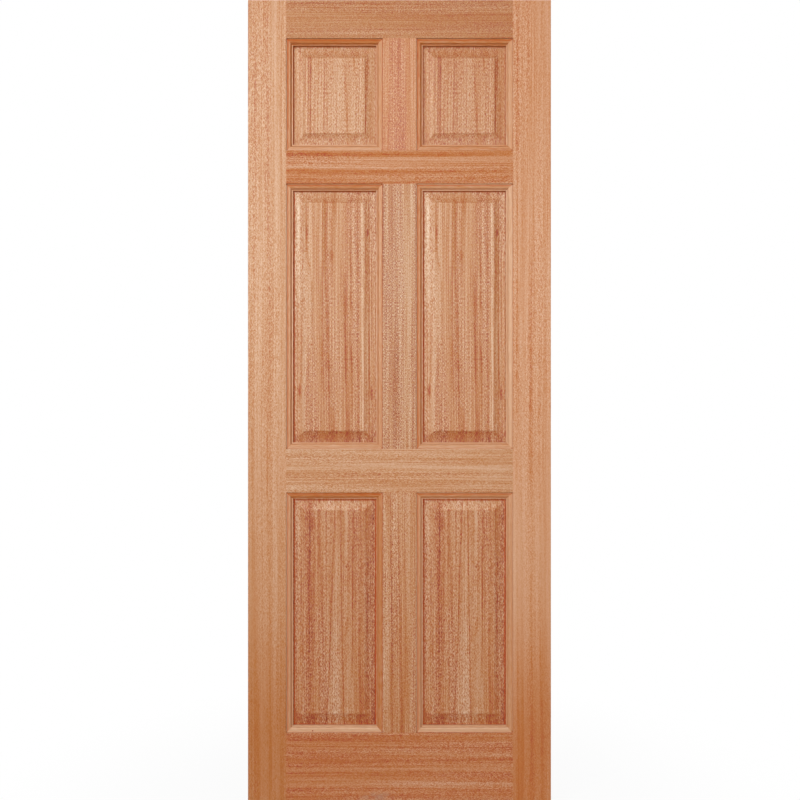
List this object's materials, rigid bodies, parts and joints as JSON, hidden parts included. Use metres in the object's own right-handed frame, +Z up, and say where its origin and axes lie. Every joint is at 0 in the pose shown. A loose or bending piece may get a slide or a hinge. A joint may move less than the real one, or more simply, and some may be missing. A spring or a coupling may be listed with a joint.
{
  "type": "panelled front door leaf",
  "caption": "Unfinished hardwood door leaf: wedged stile-and-rail framing round raised-and-fielded panels, with mitred ovolo beads planted on both faces.",
  "frame": {"origin": "middle of the bottom edge of the leaf, halfway through its thickness", "axes": "+Z up the leaf, +X to the right as seen from the front, -Y out of the front face"},
  "size_m": [0.762, 0.044, 2.032],
  "materials": {
    "stile_wood": "bare sanded hardwood",
    "rail_wood": "bare sanded hardwood",
    "muntin_wood": "bare sanded hardwood",
    "panel_wood": "bare sanded hardwood",
    "bead_wood": "bare sanded hardwood",
    "wedge_wood": "bare sanded hardwood"
  },
  "bodies": {
    "root": {"left_stile": "stile_wood", "right_stile": "stile_wood", "top_rail": "rail_wood", "frieze_rail": "rail_wood", "lock_rail": "rail_wood", "bottom_rail": "rail_wood", "upper_muntin": "muntin_wood", "middle_muntin": "muntin_wood", "lower_muntin": "muntin_wood", "upper_left_panel": "panel_wood", "upper_right_panel": "panel_wood", "middle_left_panel": "panel_wood", "middle_right_panel": "panel_wood", "lower_left_panel": "panel_wood", "lower_right_panel": "panel_wood", "front_upper_left_top_bead": "bead_wood", "front_upper_left_bottom_bead": "bead_wood", "front_upper_left_side_beads": "bead_wood", "front_upper_right_top_bead": "bead_wood", "front_upper_right_bottom_bead": "bead_wood", "front_upper_right_side_beads": "bead_wood", "front_middle_left_top_bead": "bead_wood", "front_middle_left_bottom_bead": "bead_wood", "front_middle_left_side_beads": "bead_wood", "front_middle_right_top_bead": "bead_wood", "front_middle_right_bottom_bead": "bead_wood", "front_middle_right_side_beads": "bead_wood", "front_lower_left_top_bead": "bead_wood", "front_lower_left_bottom_bead": "bead_wood", "front_lower_left_side_beads": "bead_wood", "front_lower_right_top_bead": "bead_wood", "front_lower_right_bottom_bead": "bead_wood", "front_lower_right_side_beads": "bead_wood", "back_upper_left_top_bead": "bead_wood", "back_upper_left_bottom_bead": "bead_wood", "back_upper_left_side_beads": "bead_wood", "back_upper_right_top_bead": "bead_wood", "back_upper_right_bottom_bead": "bead_wood", "back_upper_right_side_beads": "bead_wood", "back_middle_left_top_bead": "bead_wood", "back_middle_left_bottom_bead": "bead_wood", "back_middle_left_side_beads": "bead_wood", "back_middle_right_top_bead": "bead_wood", "back_middle_right_bottom_bead": "bead_wood", "back_middle_right_side_beads": "bead_wood", "back_lower_left_top_bead": "bead_wood", "back_lower_left_bottom_bead": "bead_wood", "back_lower_left_side_beads": "bead_wood", "back_lower_right_top_bead": "bead_wood", "back_lower_right_bottom_bead": "bead_wood", "back_lower_right_side_beads": "bead_wood", "top_rail_wedges": "wedge_wood", "frieze_rail_wedges": "wedge_wood", "lock_rail_wedges": "wedge_wood", "bottom_rail_wedges": "wedge_wood"}
  },
  "joints": []
}
